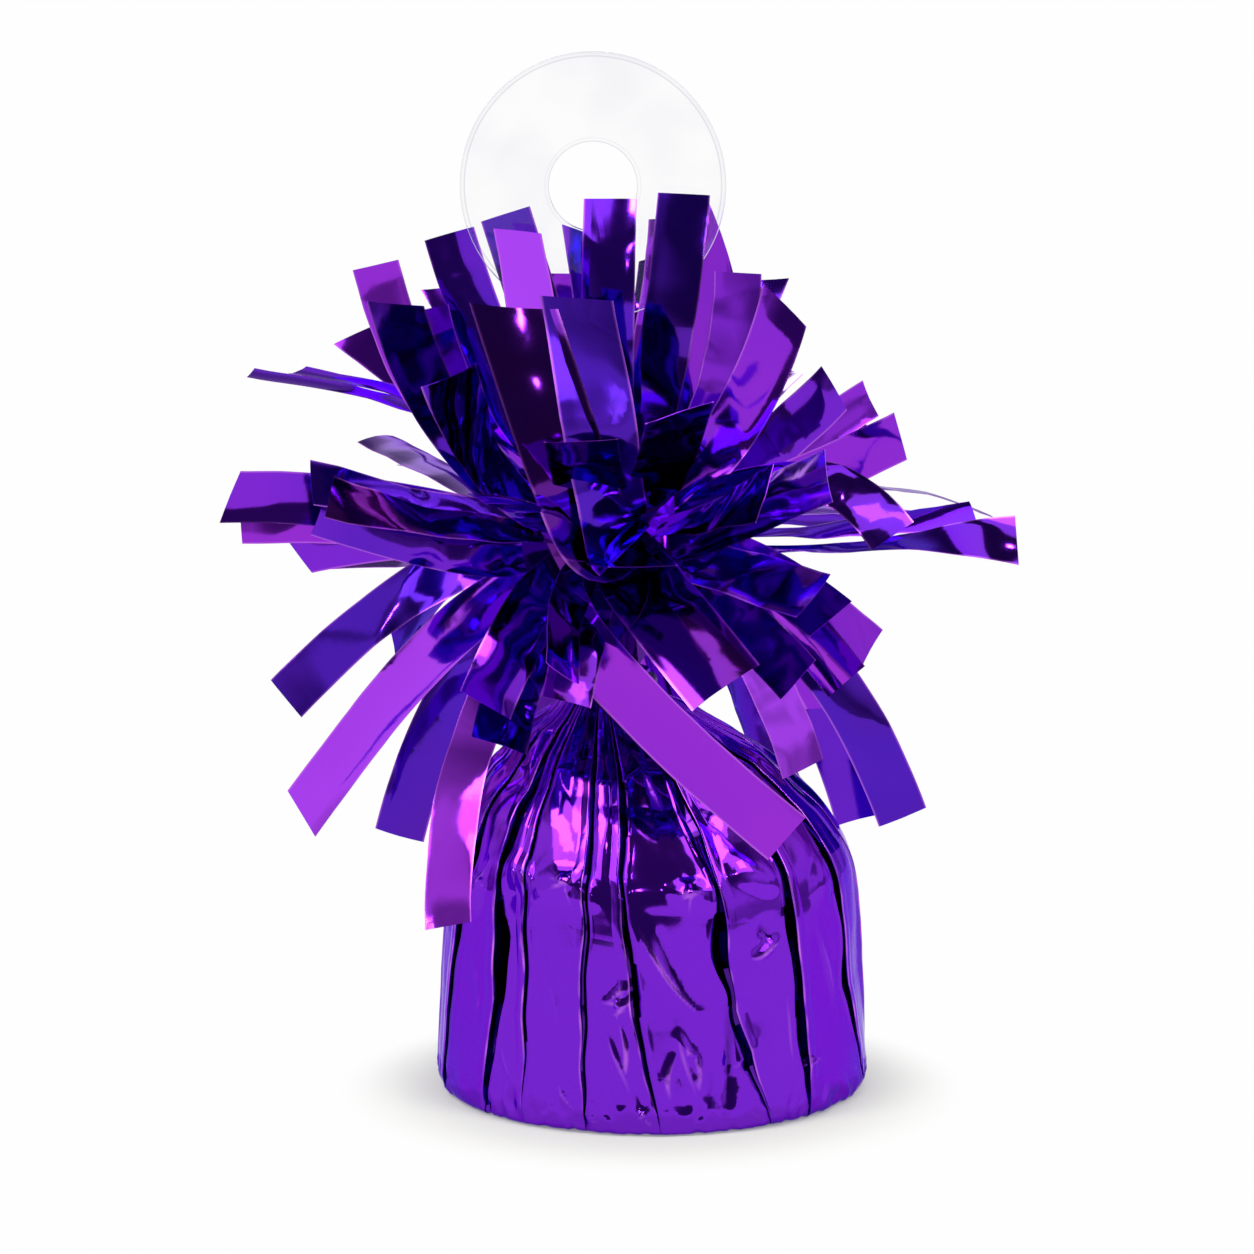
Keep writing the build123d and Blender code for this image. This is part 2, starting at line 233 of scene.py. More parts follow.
# Knife pleats, with bearings in degrees from the front towards the right: the fold's bearing at the foot,
# half way up, at the shoulder and at the neck; which side lies on top; how deep and how wide its slot stands
# open in millimetres
knife_pleats = [
    (-75, -73, -64, -60, -1, 1.6, 2.2), (-51, -47.3, -48.6, -44, -1, 1.6, 1.9),
    (-35.7, -36.2, -38, -34, -1, 0.5, 0.15), (-18.3, -19, -19, -16, -1, 1.1, 0.7),
    (2, -5.3, -9.3, -4, -1, 1.2, 0.9), (33, 22, 18, 16, 1, 1.6, 1.7), (46, 43.9, 41.3, 38, 1, 1.5, 1.6),
    (79, 66, 63, 60, 1, 1.6, 1.8), (96, 88, 84, 82, 1, 1.3, 1.2), (111, 108, 106, 104, 1, 1, 0.7),
    (130, 128, 126, 124, -1, 1.5, 1.5), (146, 147, 145, 143, -1, 0.9, 0.6),
    (168, 166, 166, 164, -1, 1.4, 1.5), (184, 184, 182, 183, 1, 1, 0.8), (203, 203, 201, 203, 1, 1.6, 1.8),
    (221, 219, 220, 222, 1, 0.9, 0.6), (240, 238, 240, 243, -1, 1.5, 1.5), (256, 256, 258, 262, -1, 1, 0.8),
    (271, 271, 276, 280, -1, 1.4, 1.3),
]

# The drum's radius and the film tucked under a fold, in mm, and how far a slot stands open, how much film is
# tucked and how hollow the dome is between its folds, as shares at some heights in mm
drum_radius = 30
tuck_length = 3.0
bearing_heights = [0.0, 17.0, 36.0, 57.0]
slot_heights = [0.0, 3.0, 9.0, 18.0, 26.0, 33.0, 44.0, 57.0]
slot_shares = [0.0, 0.25, 0.75, 1.0, 0.95, 0.8, 0.9, 0.4]
tuck_shares = [0.0, 0.15, 0.45, 0.75, 0.95, 1.0, 0.8, 0.15]
shrink = np.clip(row_radius / drum_radius, 0, 1)
slot_share = np.where(on_floor, 0, np.interp(level_height, slot_heights, slot_shares))
tuck_share = np.where(on_floor, 0, np.interp(level_height, slot_heights, tuck_shares))
hollow = np.interp(level_height, [31, 40, 52, 57], [0, 1, 1, 0.2])


def wander(seed, pace, layer):
    """Smooth noise for each row on the way up the wrap."""
    return np.array([noise.noise(Vector((seed, rise * pace, layer))) for rise in level_height])


def pleat_columns(pleat):
    """Columns across one pleat, left to right: place sideways and height off the drum in each row, both in
    mm, and its painted light: painted highlight along the fold (1) or painted shade in the slot (-1)."""
    side, depth, width = pleat[4:]
    deep = depth * slot_share * (1 + 0.5 * hollow)
    wide = width * (0.6 + wander(pleat[1] * 0.37, 0.13, 9.0)) * slot_share * shrink
    tuck = tuck_length * tuck_share * shrink
    dome_draw = (3.6 if width > 1.2 else 1.4) * hollow
    sink = 0.55 * slot_share + dome_draw
    flat = np.zeros(row_count)
    # Third entry of each column: painted highlight on the fold's edge, painted shade down in the slot
    columns = [
        (-1.3 * shrink, flat, 0),
        (-0.4 * shrink, 0.08 * slot_share, 0),
        (-0.1 * shrink, 0.1 * slot_share, 1),
        (flat, -0.02 * slot_share, 0.9),
        (-0.04 * shrink, -0.2 * slot_share, -0.3),
        (-0.6 * tuck, -0.35 * slot_share - 0.6 * dome_draw, -0.9),
        (-tuck, -0.4 * slot_share - 0.6 * sink, -0.9),
        (-0.98 * tuck, -0.55 * slot_share - 0.6 * sink, -0.9),
        (-0.25 * tuck, -0.8 * deep, -0.9),
        (0.3 * wide, -deep, -0.75),
        (0.75 * wide, -0.6 * deep, -0.3),
        (wide + 0.9 * shrink, flat, 0),
    ]
    if side > 0:
        columns = [(-across, rise, mark) for across, rise, mark in reversed(columns)]
    return columns


# How far a pleat wavers, in degrees, how flat the panels between the pleats are drawn, as a share, and how
# far they swell on the dome, in mm
pleat_waver = 0.9
panel_flatness = 0.75
dome_swell = 0.4
bearings = np.array([
    np.interp(level_height, bearing_heights, pleat[:4]) + pleat_waver * wander(at * 3.1, 0.16, 4.0)
    for at, pleat in enumerate(knife_pleats)
])
wrap_bearing, wrap_lift, wrap_painted_light = [], [], []
for at, pleat in enumerate(knife_pleats):
    following = (at + 1) % len(knife_pleats)
    ahead = bearings[following] + (360 if following == 0 else 0)
    # How strong the painted highlight along this fold is, varying on the way up
    fold_glint_strength = np.clip(0.55 + 0.9 * wander(at * 5.3, 0.35, 2.0), 0, 1)
    for across, rise, mark in pleat_columns(pleat):
        wrap_bearing.append(bearings[at] + np.degrees(across / row_radius))
        wrap_lift.append(rise)
        wrap_painted_light.append(mark * slot_share * (fold_glint_strength if mark > 0 else 1))
    left = wrap_bearing[-1]
    right = ahead + np.degrees(pleat_columns(knife_pleats[following])[0][0] / row_radius)
    middle, half = (bearings[at] + ahead) / 2, np.radians(ahead - bearings[at]) / 2
    # The panels at the front carry the drawn creases, so they have more columns
    gaps = 27 if -70 < pleat[1] < 60 else 11
    for step in range(1, gaps):
        bearing = left + (right - left) * step / gaps
        chord = np.cos(half) / np.cos(np.radians(bearing - middle)) - 1
        swell = math.sin(math.pi * step / gaps) ** 0.7
        lift = panel_flatness * row_radius * chord * slot_share + dome_swell * swell * hollow * shrink
        wrap_bearing.append(bearing)
        wrap_lift.append(np.where(on_floor, 0, lift))
        wrap_painted_light.append(np.zeros(row_count))
wrap_bearing, wrap_lift, wrap_painted_light = np.array(wrap_bearing).T, np.array(wrap_lift).T, np.array(wrap_painted_light).T
column_count = wrap_bearing.shape[1]
grid_height = np.repeat(row_height[:, None], column_count, axis=1)
standing = ~on_floor[:, None]
degree_length = math.radians(drum_radius)


def from_spot(bearing, height):
    """How far each point of the wrap lies beside and above a spot, in mm along the film."""
    return ((wrap_bearing - bearing + 180) % 360 - 180) * degree_length, grid_height - height


def turned(sideways, upwards, angle):
    """The same places, measured along a line that climbs at an angle, and off that line."""
    along = sideways * math.cos(angle) + upwards * math.sin(angle)
    return along, upwards * math.cos(angle) - sideways * math.sin(angle)


def ridge(off, flank):
    """1 on a crest, falling straight to 0 where its flank ends."""
    return np.clip(1 - np.abs(off) / flank, 0, 1)


def press(lift, mark):
    """Lifts the standing film, and adds a painted highlight (above 0) or painted shade (below 0) where none
    is painted yet.
    """
    wrap_lift[:] += np.where(standing, lift, 0)
    wrap_painted_light[:] += np.where(wrap_painted_light == 0, mark, 0)


# Sharp creases in the drawn film, with a painted highlight along crests that stand out and painted shade
# along those sunk in: bearing and height of both ends, how far they stand out and how far their flanks run,
# in mm
long_creases = [
    (-7, 31, 14.5, 15.5, 0.8, 1.9), (-1, 28.5, 13, 17, -0.6, 1.6), (21, 19, 18, 2, -1, 1.7),
    (-11.5, 16, -6.5, 4, 0.25, 0.9), (7, 17, 11, 3, 0.28, 1), (18, 7, 29, 14, 0.2, 0.9),
    (-60, 24, -54, 10, 0.22, 0.9), (-44, 13, -38, 4, 0.16, 0.8), (36, 21, 42, 6, 0.22, 0.9),
    (-30, 27, -25, 9, 0.12, 0.9), (52, 29, 59, 12, 0.22, 0.9), (-25, 8, -20, 2, 0.22, 0.8),
    (-40, 31, -36, 22, 0.2, 0.9), (105, 27, 116, 15, 0.3, 1.1), (150, 30, 158, 12, 0.28, 1.1),
    (176, 8, 188, 16, 0.22, 0.9), (190, 28, 199, 17, 0.3, 1), (228, 12, 236, 26, 0.25, 1),
    (247, 33, 254, 20, 0.3, 1), (26, 24.6, 37.5, 25.2, 0.7, 1.4), (28.5, 27.6, 34, 27, -0.6, 1.2),
    (-11.5, 17.5, -4.5, 18.6, 0.55, 1), (-9, 22, -10.5, 18.5, 0.45, 0.9), (-9.5, 16.5, -7, 6, 0.45, 1.1),
    (-30, 34.6, -20, 34, 0.45, 1.2), (6.5, 34.6, 13.5, 33.2, 0.6, 1.1), (4.5, 13.6, 12, 11.6, 0.5, 1),
    (6, 12, 4, 4, 0.4, 1), (9.5, 12.5, 12.5, 4.5, 0.4, 1), (-20, 2.8, -12, 2.5, 0.18, 0.7),
    (24, 2.8, 31, 2.5, 0.18, 0.7), (112, 24, 120, 25, 0.45, 1), (190, 34.5, 200, 34, 0.6, 1.1),
    (208, 26, 216, 25.2, 0.45, 1), (150, 18, 158, 19, 0.25, 1), (250, 31, 258, 32, 0.5, 1),
    (132, 34, 141, 34.6, 0.55, 1.1),
]
crease_waver = 0.7
for start, low, end, high, stand, flank in long_creases:
    reach = np.array([(end - start) * degree_length, high - low])
    length = np.linalg.norm(reach)
    sideways, upwards = from_spot(start, low)
    along = (sideways * reach[0] + upwards * reach[1]) / length**2
    off = (upwards * reach[0] - sideways * reach[1]) / length + crease_waver * np.sin(along * 4.0 + start)
    fade = np.clip(1.2 - np.abs(2.4 * (along - 0.5)), 0, 1)
    # Painted highlight along a raised crest, painted shade along a sunk one
    crest_painted_light = np.clip(1.3 * stand, -0.8, 0.65) * fade * ridge(off, min(0.6 * flank, 0.55))
    press(stand * fade * ridge(off, flank), crest_painted_light)

# Bulges of slack film pushed out between the creases: bearing, height, half length, half height and how far
# they stand out, in mm, and their slope in degrees
bulges = [
    (11, 33.5, 2.6, 4.5, 0.7, 75), (-25, 34, 6, 3.2, 0.6, -6), (-42, 35, 4, 3.2, 0.6, 20),
    (30, 36, 5, 3.2, 0.8, -20), (-60, 30, 4, 3, 0.6, 60), (55, 33, 3, 4, 0.6, -20),
    (112, 23, 5, 2.4, 0.55, 12), (136, 33, 5, 2.8, 0.8, -8), (156, 18, 5, 2.5, 0.35, -15),
    (193, 34, 5, 3, 0.8, 10), (210, 26, 5.4, 2.6, 0.6, 8), (240, 16, 4.4, 2.4, 0.55, -10),
    (262, 31, 4.6, 2.8, 0.7, 14),
]
for start, low, half_long, half_high, stand, slope in bulges:
    along, off = turned(*from_spot(start, low), math.radians(slope))
    along = along / half_long
    off = off / half_high + 0.35 * along * along
    swelling = np.clip(1 - along * along - off * off, 0, 1)
    press(stand * swelling**1.2, 0)

# Pinches, where the film was caught while it was drawn up, with a painted highlight along their ridges:
# bearing, height, first ridge's angle, ridges, length and height of the ridges in mm
pinches = [
    (-9.5, 18.5, 80, 4, 4.5, 0.25), (10, 34, 60, 5, 4.5, 0.3), (-25, 35, 200, 5, 5.5, 0.22),
    (47, 8, 30, 4, 4, 0.22), (-3, 3, 20, 4, 3.5, 0.25), (-56, 33, 40, 4, 4.5, 0.28),
    (110, 24, 10, 5, 5, 0.14), (155, 19, 50, 4, 5, 0.12), (200, 27, 25, 5, 5, 0.14),
    (240, 17, 70, 4, 4.5, 0.12), (282, 30, 15, 4, 4.5, 0.12),
]
for start, low, first, ridges, length, stand in pinches:
    for number in range(ridges):
        angle = math.radians(first + 360 / ridges * number + 22 * math.sin(number * 2.1 + first))
        along, off = turned(*from_spot(start, low), angle)
        along = along / (length * (0.75 + 0.35 * math.sin(number * 3.7 + low)))
        fade = np.where(along > 0, np.clip(1 - along, 0, 1), np.clip(1 + 4 * along, 0, 1))
        flank = 0.7 + 0.5 * np.clip(along, 0, 1)
        press(stand * fade * ridge(off, flank), 0.5 * fade * ridge(off, 0.35))

# Slack in the panels, flat facets where the film is crushed, puckers along the foot, and gathers into the
# neck, each as a height in mm that changes on the way up; the gathers' crests get a painted highlight
theta = np.radians(wrap_bearing - 90)
facet_size = 10.0
for row in range(last_floor_row + 1, row_count):
    rise = level_height[row]
    slack = np.interp(rise, [0, 6, 30, 45, 57], [0.05, 0.22, 0.22, 0.3, 0.1])
    facets = np.interp(rise, [2, 8, 28, 40, 47, 56, 60], [0.2, 0.12, 0.2, 0.3, 1.3, 0.8, 0.2])
    pucker = 0.5 * math.exp(-((rise - 1.8) / 2.2) ** 2)
    gather = np.interp(rise, [40, 50, 56, 60], [0, 0.3, 0.3, 0.1])
    for column in range(column_count):
        x, y = math.cos(theta[row, column]), math.sin(theta[row, column])
        spot = Vector((x * row_radius[row], y * row_radius[row], rise)) / facet_size
        lift = slack * noise.noise(Vector((x * 4.2, y * 4.2, rise * 0.07)))
        lift += facets * (noise.voronoi(spot, distance_metric="MANHATTAN")[0][0] - 0.6)
        if pucker > 0.01:
            lift += pucker * (0.4 - 2 * abs(noise.noise(Vector((x * 15, y * 15, rise * 0.3)))))
        if gather > 0:
            off_crest = abs(noise.noise(Vector((x * 6, y * 6, rise * 0.05))))
            lift += gather * (0.3 - 2 * off_crest)
            # A painted highlight along the gathers' crests
            if wrap_painted_light[row, column] == 0:
                wrap_painted_light[row, column] = min(1.0, 3 * gather) * max(0.0, 0.6 - off_crest / 0.07)
        wrap_lift[row, column] += lift

# How deep the film may sink between its folds in mm, on the drum and further in the dome's hollows
drum_sink, dome_sink = 1.75, 4.0
wrap_lift = np.where(standing, np.maximum(wrap_lift, -drum_sink - dome_sink * hollow[:, None]), 0.0)
reach = row_radius[:, None] + wrap_lift * row_out[:, None]
wrap_points = np.stack([
    row_drift[:, None] + reach * np.cos(theta),
    reach * np.sin(theta),
    np.maximum(row_height[:, None] + wrap_lift * row_up[:, None], 0.0),
], axis=2)
floor_middle, neck_middle = (0.0, 0.0, 0.0001), (-0.006, 0.0, 0.0604)
corners = [floor_middle, *map(tuple, wrap_points.reshape(-1, 3) * 0.001), neck_middle]
faces = []
for column in range(column_count):
    beside = (column + 1) % column_count
    faces.append((0, 1 + beside, 1 + column))
    for row in range(row_count - 1):
        low, high = 1 + row * column_count, 1 + (row + 1) * column_count
        faces.append((low + column, low + beside, high + beside, high + column))
    faces.append((high + column, high + beside, len(corners) - 1))


def new_piece(name, mesh, finish=None):
    """A new object at the origin, shaded smooth, with a finish where its mesh has none yet."""
    piece = bpy.data.objects.new(name, mesh)
    bpy.context.scene.collection.objects.link(piece)
    if finish is not None:
        mesh.materials.append(finish)
    mesh.shade_smooth()
    return piece


wrap_mesh = bpy.data.meshes.new("film_wrap")
wrap_mesh.from_pydata(corners, [], faces)
# Painted light: towards the dome the wrap is toned lighter and redder, as a painted highlight
row_painted_tone = np.interp(level_height, [0, 30, 40, 52], [0.25, 0.35, 0.7, 1.0])
for name, values in (
    ("painted_light_mark", [0.0, *wrap_painted_light.ravel(), 0.0]),
    ("lacquer_and_painted_light", [row_painted_tone[0], *np.repeat(row_painted_tone, column_count), row_painted_tone[-1]]),
):
    wrap_mesh.attributes.new(name, "FLOAT", "POINT").data.foreach_set("value", values)
wrap = new_piece("film_wrap", wrap_mesh, wrap_finish)
wrap_mesh.set_sharp_from_angle(angle=math.radians(70))
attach(wrap, "weight")
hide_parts("foil_wrap")


# Neck tie: an elastic band moulded in natural rubber, sprung over the gathered neck. The strips hide it from
# most sides.

# Dyed natural rubber: dull violet, with a faint bloom in patches of about 1.2 mm
bloom_size = 0.0012
moulded_rubber, tree, shader, place = new_finish("moulded natural rubber")
bloom = add(tree, "ShaderNodeTexNoise", {"Vector": place, "Scale": 1 / bloom_size, "Detail": 3.0})
grain(tree, shader, bloom, ("#452880", "#5A369C"), bloom, depth=0.00008, strength=0.5, roughness=0.55)
dress("neck_tie", moulded_rubber)


# Film rosette: the film between the tie and the slits, crumpled into a knot round the stem. It is the same
# sheet as the wrap, crushed by hand into small flat facets, and its film is darkened as painted shade for its
# place under the strips.
rosette_middle = Vector((-0.006, 0.0, 0.078))
rosette_radii = Vector((0.0145, 0.0150, 0.0120))
large_fold, small_fold = 0.0035, 0.0018
drawn_in, drawn_down = 0.45, 0.0085
# The same film in darker shades, as painted shade
rosette_shaded_film = film_finish(
    "metallised polyester film, crumpled, painted shade", ("#4C1264", "#62198C"), crinkle=0.05, crease=0.04, marked=False,
)
rosette_mesh = bpy.data.meshes.new("film_rosette_crumpled")
crumple = bmesh.new()
bmesh.ops.create_icosphere(crumple, subdivisions=2, radius=1.0)
for corner in crumple.verts:
    way = corner.co.normalized()
    spot = way * rosette_radii
    fold = noise.noise(spot * 150) * large_fold + noise.noise(spot * 330 + Vector((3, 5, 7))) * small_fold
    corner.co = rosette_middle + spot + way * fold
    below = max(0.0, -way.z - 0.35) / 0.65
    corner.co.x += (rosette_middle.x - corner.co.x) * drawn_in * below
    corner.co.y += (rosette_middle.y - corner.co.y) * drawn_in * below
    corner.co.z -= drawn_down * below
crumple.to_mesh(rosette_mesh)
crumple.free()
rosette = new_piece("film_rosette_crumpled", rosette_mesh, rosette_shaded_film)
rosette_mesh.shade_flat()
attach(rosette, "weight")
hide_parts("film_rosette")


# Fringe strips: the film's margin above the tie, slit with a fringing blade into straight strips and fluffed
# out by hand. Each starts gathered on the rosette, opens to its full width and springs out to its cut end.
strip_reach = 0.058
strip_width = 0.0074
strip_film = 0.00008
seat_radii = Vector((0.0115, 0.0115, 0.009))

# Each row: the tip from the rosette's middle as shares of the reach; bearing and rise of the root in degrees;
# how far out its bow bends, as a share of its length; the tilt of the face at the root and at the tip, in
# degrees; its width and the slant of its cut end as shares; how far the face turns about its spine, in
# degrees; its tone, mostly light and shade painted in for what its mirror face shows, from dark plum (0)
# over blue, violet and lilac to the silver of the film's bare reverse (1); the angle of its kink in degrees
fringe = {
    "crown_strips_front": [
        (-0.2, -0.28, 0.79, -122, 56, 0.5, 88, 88, 1.05, 0.01, -25, 0.78, 5),
        (0, -0.2, 0.86, -92, 62, 0.5, 90, 90, 1, 0, -3, 0.2, -4),
        (0.17, -0.21, 0.87, -60, 60, 0.5, 90, 90, 1, 0, -16, 0.1, -5),
        (-0.22, -0.42, 0.6, -92, 2, 0.7, 60, 70, 1.5, 0.03, 0, 0.04, 6),
        (-0.05, -0.45, 0.65, -88, 4, 0.7, 60, 70, 1.55, 0, 38, 0.18, -8),
    ],
    "crown_strips_left": [
        (-0.4, 0.24, 0.75, 150, 52, 0.5, 90, 90, 1, 0, 0, 0.22, -3),
        (-0.26, 0.24, 0.8, 122, 60, 0.5, 90, 90, 1, 0, 0, 0.12, 4),
        (-0.4, 0.46, 0.58, 130, 44, 0.5, 80, 80, 1, 0.04, 0, 0.32, 6),
    ],
    "crown_strips_right": [
        (0.29, 0.28, 0.75, 40, 57, 0.5, 90, 90, 0.9, 0.12, 20, 0.5, -6),
        (0.31, 0.13, 0.66, 15, 50, 0.5, 90, 90, 1, 0, 26, 0.44, 5),
        (0.38, 0.42, 0.62, 45, 46, 0.5, 70, 80, 1, -0.04, 0, 0.24, -6),
    ],
    "crown_strips_back": [
        (-0.11, 0.48, 0.64, 106, 40, 0.5, 90, 90, 1, 0, 0, 0.48, -5),
        (-0.06, 0.36, 0.74, 90, 54, 0.5, 90, 90, 1, 0.05, 12, 0.32, 5),
        (0.11, 0.24, 0.79, 66, 61, 0.5, 90, 90, 1, 0, 32, 0.44, 6),
        (0.14, 0.52, 0.7, 74, 48, 0.5, 90, 90, 1, -0.05, 0, 0.16, -7),
    ],
    "upper_strips_left": [
        (-0.57, -0.08, 0.69, -172, 34, 0.5, 75, 85, 1, 0, -22, 0.52, -6),
        (-0.44, 0.15, 0.57, 165, 36, 0.5, 80, 85, 0.9, 0, -20, 0.44, 4),
        (-0.5, -0.3, 0.6, -150, 30, 0.5, 60, 75, 1, 0.04, 0, 0.2, -8),
        (-0.39, -0.53, 0.5, -134, 24, 0.5, 50, 65, 1.1, 0, 6, 0.12, 9),
        (-0.88, 0.04, 0.42, 177, 50, 0.35, 2, 3, 1, 0, 0, 0.48, 2),
        (-0.78, 0.22, 0.41, 163, 52, 0.35, 5, 8, 1, 0, 0, 0.48, -2),
        (-0.61, 0.55, 0.18, 138, 14, 0.5, 5, 8, 1, 0, 0, 1, 3),
        (-0.64, 0.46, 0.46, 145, 34, 0.5, 40, 50, 1, 0.03, 0, 0.48, 6),
    ],
    "upper_strips_right": [
        (0.42, -0.15, 0.6, -20, 42, 0.5, 55, 60, 1, 0.06, 8, 0.45, -8),
        (0.45, 0.45, 0.38, 48, 32, 0.5, 35, 45, 1, 0, -30, 1, 6),
        (0.55, 0.1, 0.38, 8, 30, 0.5, 65, 70, 1, 0.03, 28, 0.3, 6),
        (0.66, 0.35, 0.33, 28, 24, 0.5, 50, 50, 0.8, 0, 38, 0.44, -5),
        (0.7, -0.2, 0.31, -14, 20, 0.5, 70, 80, 1, 0.04, 20, 0.48, 7),
        (0.66, 0.5, 0.26, 38, 27, 0.5, 30, 40, 1, -0.03, 0, 0.24, -6),
    ],
    "upper_strips_back": [
        (-0.22, 0.76, 0.44, 106, 30, 0.5, 10, 20, 1, 0.03, 0, 0.16, 7),
        (0.12, 0.8, 0.42, 82, 32, 0.5, 0, 10, 1, 0, 12, 0.56, -6),
        (0.36, 0.74, 0.44, 66, 38, 0.5, 30, 30, 1, -0.03, 0, 0.32, 5),
        (-0.46, 0.68, 0.36, 124, 28, 0.5, 20, 30, 1, 0, -10, 0.4, -8),
    ],
    "middle_strips_left": [
        (-0.92, -0.1, 0.15, -173, 14, 0.5, 50, 60, 1, 0.03, -45, 0.4, 6),
        (-0.92, 0.15, 0.05, 173, 8, 0.5, 45, 50, 1, 0, -48, 0.56, -5),
        (-0.79, 0.3, -0.05, 158, 4, 0.5, 45, 50, 1, -0.04, -40, 0.4, 5),
        (-0.7, -0.36, 0.2, -154, 14, 0.5, 30, 45, 1, 0, 0, 0.16, -4),
        (-0.64, -0.52, 0.19, -138, 10, 0.5, 40, 60, 1, 0.03, 10, 0, -3),
        (-0.7, -0.25, 0.11, -162, -6, 0.3, 70, 75, 0.8, 0, -14, 0.28, 5),
        (-0.65, 0.45, -0.1, 144, -4, 0.5, 40, 45, 1, 0.04, 0, 0.95, 6),
    ],
    "middle_strips_right": [
        (0.99, -0.1, 0.02, -5, -4, 0.4, -3, 72, 1, 0, 0, 0.08, 6),
        (0.9, 0.16, 0.02, 9, 3, 0.5, 0, 30, 0.9, 0, 0, 0.24, 4),
        (0.95, 0.3, 0.05, 17, 17, 0.6, 3, 6, 0.9, 0, 0, 1, -3),
        (0.85, 0.52, 0, 33, 6, 0.6, 3, 6, 1, 0, 0, 1, 4),
        (0.67, -0.35, 0.07, -30, 30, 0.8, 30, 70, 1, 0, 0, 0.04, -10),
        (0.52, -0.6, 0.24, -52, 10, 0.2, 60, 65, 1, 0, 4, 0.86, 4),
    ],
    "middle_strips_front": [
        (-0.06, -0.72, 0.36, -95, 20, 0.5, 0, 20, 1.3, 0, 0, 0.04, -6),
        (0.17, -0.72, 0.33, -74, 27, 0.5, 0, 20, 1.2, 0.04, 0, 0.06, 8),
        (-0.24, -0.72, 0.24, -108, 12, 0.5, 0, 20, 1.2, 0, 0, 0.04, -8),
        (0.08, -0.82, 0.02, -88, 2, 0.5, 10, 20, 1.3, -0.03, 0, 0.08, 7),
        (0.4, -0.75, 0.18, -64, 14, 0.5, 20, 50, 1.1, 0, 14, 0.8, 8),
    ],
    "middle_strips_back": [
        (-0.74, 0.62, 0, 142, 6, 0.5, 30, 40, 1, 0, 0, 0.16, 6),
        (-0.5, 0.8, 0.12, 122, 12, 0.5, 10, 20, 1, 0.03, 10, 0.48, -7),
        (-0.2, 0.92, 0.14, 102, 14, 0.5, 5, 5, 1, 0, 0, 0.24, 8),
        (0.12, 0.94, 0.1, 84, 12, 0.5, 0, 5, 1, 0, -12, 0.64, -6),
        (0.42, 0.86, 0.14, 64, 14, 0.5, 10, 20, 1, -0.03, 0, 0.08, 7),
        (0.68, 0.66, 0.02, 46, 4, 0.5, 20, 30, 1, 0, 8, 0.4, -5),
    ],
    "lower_strips_left": [
        (-0.82, 0.1, -0.4, 175, -6, 0.4, 50, 60, 1, 0, -8, 0.16, -9),
        (-0.75, -0.1, -0.66, -172, -24, 0.36, 50, 60, 1, 0.03, -38, 0.72, -7),
    ],
    "lower_strips_right": [
        (0.48, -0.6, -0.05, -50, -2, 0.35, 50, 60, 1.05, 0, 0, 0.04, 4),
        (0.52, -0.4, -0.12, -36, 4, 0.4, 60, 60, 1, 0.03, 22, 0.4, -5),
        (0.58, -0.2, -0.3, -19, -8, 0.4, 65, 65, 1, 0, 35, 0.64, 6),
        (0.46, -0.42, -0.27, -44, -15, 0.4, 60, 60, 1, 0, 25, 0.45, 7),
        (0.56, 0.15, -0.43, 15, -14, 0.4, 60, 60, 1, 0.04, 15, 0.5, -6),
    ],
    "lower_strips_front": [
        (0.27, -0.62, -0.25, -80, -5, 0.4, 40, 50, 1.5, 0, 10, 0.04, 5),
        (-0.28, -0.5, -0.3, -124, -18, 0.4, 40, 50, 1.1, 0, -26, 0.36, -8),
        (-0.13, -0.62, -0.24, -108, -12, 0.45, 30, 40, 0.8, 0, -34, 0.64, 6),
        (-0.1, -0.45, -0.31, -100, -20, 0.45, 40, 60, 0.95, 0, -14, 0.04, -4),
        (-0.27, -0.38, -0.44, -138, -40, 0.4, 50, 60, 1.1, 0, -18, 0.24, 8),
    ],
    "lower_strips_back": [
        (-0.55, 0.66, -0.36, 130, -10, 0.5, 30, 40, 1, 0, 0, 0.16, 6),
        (-0.24, 0.82, -0.34, 108, -8, 0.5, 10, 20, 1, 0.03, 10, 0.56, -8),
        (0.12, 0.84, -0.38, 80, -8, 0.5, 0, 10, 1, 0, 0, 0.32, 7),
        (0.44, 0.74, -0.34, 58, -10, 0.5, 20, 30, 1, -0.03, -10, 0.08, -6),
        (0.63, 0.46, -0.34, 34, -8, 0.5, 30, 40, 1, 0, 0, 0.48, 8),
    ],
    "skirt_strips_left": [
        (-0.53, 0.2, -0.76, 160, -34, 0.4, 50, 60, 1, 0, 0, 0.16, 5),
        (-0.34, -0.38, -0.87, -152, -44, 0.5, 60, 80, 1, 0, 34, 0.66, 7),
    ],
    "skirt_strips_right": [
        (0.43, -0.42, -0.63, -118, -20, 0.3, 60, 70, 1.25, 0, 38, 0.6, 2),
        (0.46, -0.3, -0.5, -44, -14, 0.5, 60, 80, 1, 0, -25, 0.8, 5),
        (0.73, 0.05, -0.69, 0, -20, 0.45, 60, 60, 1, 0, 0, 0.16, -5),
        (0.62, 0.28, -0.73, 26, -24, 0.45, 60, 60, 0.9, 0, 0, 0.28, 6),
    ],
    "skirt_strips_back": [
        (-0.42, 0.52, -0.76, 132, -34, 0.5, 30, 60, 1, 0, 0, 0.4, -6),
        (-0.14, 0.64, -0.74, 106, -32, 0.5, 10, 20, 1, 0.03, 10, 0.08, 8),
        (0.2, 0.64, -0.78, 76, -32, 0.5, 10, 10, 1, 0, -10, 0.64, -7),
        (0.46, 0.5, -0.8, 50, -36, 0.5, 30, 40, 1, -0.03, 0, 0.24, 6),
    ],
}

